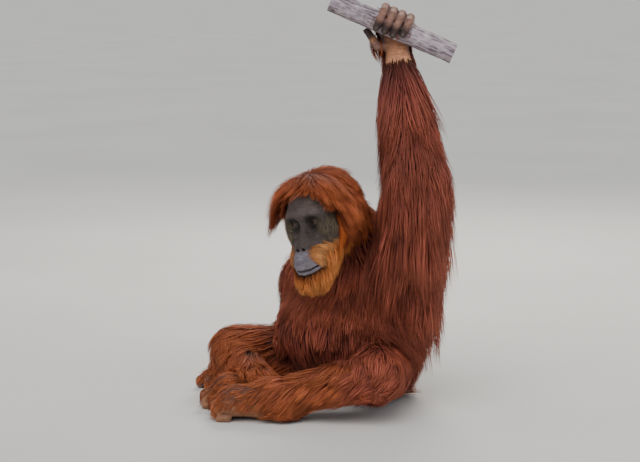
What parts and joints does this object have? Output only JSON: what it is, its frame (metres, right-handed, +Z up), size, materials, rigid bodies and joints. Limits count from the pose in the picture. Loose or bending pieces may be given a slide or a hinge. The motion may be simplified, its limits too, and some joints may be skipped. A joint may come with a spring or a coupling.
{
  "type": "orangutan",
  "caption": "Life-size still model of a seated adult female orangutan, left arm raised to grip a short cut length of branch, long red-brown coat.",
  "frame": {"origin": "on the floor under the seat, at the middle of the flat that it rests on", "axes": "+Z up, the animal's body faces -Y and its left side is +X"},
  "size_m": [0.7494, 0.65, 1.0104],
  "materials": {
    "coat": "long straight red-brown hair with a soft sheen",
    "crown_hair": "straight orange-brown hair of the crown and the beard",
    "face_skin": "dark blue-grey wrinkled skin, paler on the upper lip",
    "hand_and_foot_skin": "creased brown-grey skin, pinkish tan on the palms",
    "eye": "wet dark brown",
    "branch_bark": "weathered grey bark with long furrows"
  },
  "bodies": {
    "root": {"branch": "branch_bark", "eye_left": "eye", "eye_right": "eye", "head": "crown_hair", "face": "face_skin", "beard": "crown_hair", "torso_upper": "coat", "torso_lower": "coat", "neck": "coat", "ear_left": "face_skin", "ear_right": "face_skin", "hand_left": "hand_and_foot_skin", "hand_right": "hand_and_foot_skin", "foot_left": "hand_and_foot_skin", "foot_right": "hand_and_foot_skin", "finger_left_1": "hand_and_foot_skin", "finger_right_1": "hand_and_foot_skin", "finger_left_2": "hand_and_foot_skin", "finger_right_2": "hand_and_foot_skin", "finger_left_3": "hand_and_foot_skin", "finger_right_3": "hand_and_foot_skin", "finger_left_4": "hand_and_foot_skin", "finger_right_4": "hand_and_foot_skin", "thumb_left": "hand_and_foot_skin", "thumb_right": "hand_and_foot_skin", "toe_left_1": "hand_and_foot_skin", "toe_left_2": "hand_and_foot_skin", "toe_left_3": "hand_and_foot_skin", "toe_left_4": "hand_and_foot_skin", "big_toe_left": "hand_and_foot_skin", "toe_right_1": "hand_and_foot_skin", "toe_right_2": "hand_and_foot_skin", "toe_right_3": "hand_and_foot_skin", "toe_right_4": "hand_and_foot_skin", "big_toe_right": "hand_and_foot_skin", "forearm_left": "coat", "upper_arm_left": "coat", "forearm_right": "coat", "upper_arm_right": "coat", "shin_left": "coat", "thigh_left": "coat", "shin_right": "coat", "thigh_right": "coat"}
  },
  "joints": []
}
